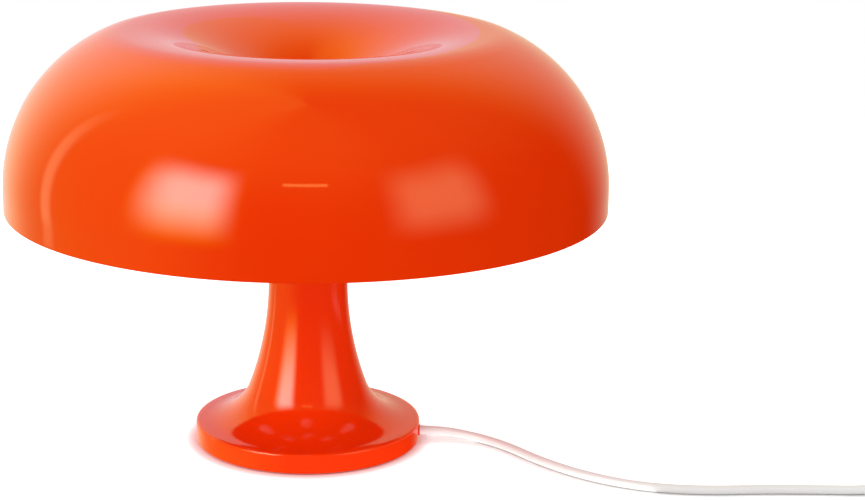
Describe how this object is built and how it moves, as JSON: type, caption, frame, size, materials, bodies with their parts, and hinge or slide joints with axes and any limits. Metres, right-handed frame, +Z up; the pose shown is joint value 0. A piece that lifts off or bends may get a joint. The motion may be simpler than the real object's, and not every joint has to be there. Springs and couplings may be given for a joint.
{
  "type": "mushroom table lamp",
  "caption": "Mushroom table lamp with a domed plastic shade that rolls into a central well, a trumpet stem on a disc foot, bulbs under the shade and a corded rocker switch.",
  "frame": {"origin": "centre of the foot's underside, on the surface that the lamp stands on", "axes": "+Z up along the stem; the front of the lamp looks along -Y; the cord leaves the foot towards +X"},
  "size_m": [0.5636, 0.32, 0.225],
  "materials": {
    "shell_plastic": "gloss",
    "rubber_black": "matte",
    "carrier_white": "satin",
    "steel_bright": "brushed",
    "brass_plain": "satin",
    "silicone_lead": "matte",
    "zinc_plate": "satin",
    "iron_dark": "rough",
    "cord_white": "satin",
    "terminal_plastic": "matte",
    "core_sheath": "satin",
    "tie_white": "satin",
    "switch_white": "semi gloss",
    "nickel_pin": "polished",
    "sleeve_black": "satin",
    "holder_black": "satin",
    "opal_glass": "frosted",
    "clear_glass": "clear"
  },
  "bodies": {
    "lamp": {"stem_foot": "shell_plastic", "shade_washer": "rubber_black", "lampholder_carrier": "carrier_white", "carrier_screws": "steel_bright", "holder_nuts": "brass_plain", "screw_shells": "brass_plain", "centre_contacts": "brass_plain", "holder_leads": "silicone_lead", "base_cover": "zinc_plate", "foot_ring": "rubber_black", "ballast": "iron_dark", "cover_screws": "steel_bright", "clamp_screws": "steel_bright", "cord_clamp": "carrier_white", "cord_bush": "shell_plastic", "cord_inside": "cord_white", "terminal_block": "terminal_plastic", "terminal_screws": "steel_bright", "supply_cores": "core_sheath", "cord_to_switch": "cord_white", "cord_to_coil": "cord_white", "cord_to_plug": "cord_white", "cord_coil": "cord_white", "coil_tie": "tie_white", "switch_lower_shell": "switch_white", "switch_upper_shell": "switch_white", "rocker_pin": "steel_bright", "switch_screws": "steel_bright", "switch_contacts": "brass_plain", "plug_body": "switch_white", "plug_pins": "nickel_pin", "plug_sleeves": "sleeve_black", "lampholder_1": "holder_black", "lampholder_2": "holder_black", "lampholder_3": "holder_black", "lampholder_4": "holder_black"},
    "shade": {"shade": "shell_plastic"},
    "rocker": {"switch_rocker": "switch_white"},
    "bulb_1": {"bulb_glass_1": "opal_glass", "bulb_cap_1": "nickel_pin", "bulb_insulator_1": "sleeve_black", "bulb_tip_1": "steel_bright", "bulb_mount_1": "clear_glass"},
    "bulb_2": {"bulb_glass_2": "opal_glass", "bulb_cap_2": "nickel_pin", "bulb_insulator_2": "sleeve_black", "bulb_tip_2": "steel_bright", "bulb_mount_2": "clear_glass"},
    "bulb_3": {"bulb_glass_3": "opal_glass", "bulb_cap_3": "nickel_pin", "bulb_insulator_3": "sleeve_black", "bulb_tip_3": "steel_bright", "bulb_mount_3": "clear_glass"},
    "bulb_4": {"bulb_glass_4": "opal_glass", "bulb_cap_4": "nickel_pin", "bulb_insulator_4": "sleeve_black", "bulb_tip_4": "steel_bright", "bulb_mount_4": "clear_glass"}
  },
  "joints": [
    {"name": "shade_lift", "type": "slide", "parent": "lamp", "child": "shade", "axis": [0, 0, 1], "range_m": [0, 0.09]},
    {"name": "bulb_1_out", "type": "slide", "parent": "lamp", "child": "bulb_1", "axis": [1, 0, 0], "range_m": [0, 0.028]},
    {"name": "bulb_2_out", "type": "slide", "parent": "lamp", "child": "bulb_2", "axis": [0, 1, 0], "range_m": [0, 0.028]},
    {"name": "bulb_3_out", "type": "slide", "parent": "lamp", "child": "bulb_3", "axis": [-1, 0, 0], "range_m": [0, 0.028]},
    {"name": "bulb_4_out", "type": "slide", "parent": "lamp", "child": "bulb_4", "axis": [0, -1, 0], "range_m": [0, 0.028]},
    {"name": "rocker_tip", "type": "hinge", "parent": "lamp", "child": "rocker", "pos_m": [0.34, -0.075, 0.0106], "axis": [0, 1, 0], "range_deg": [-14, 0]}
  ]
}
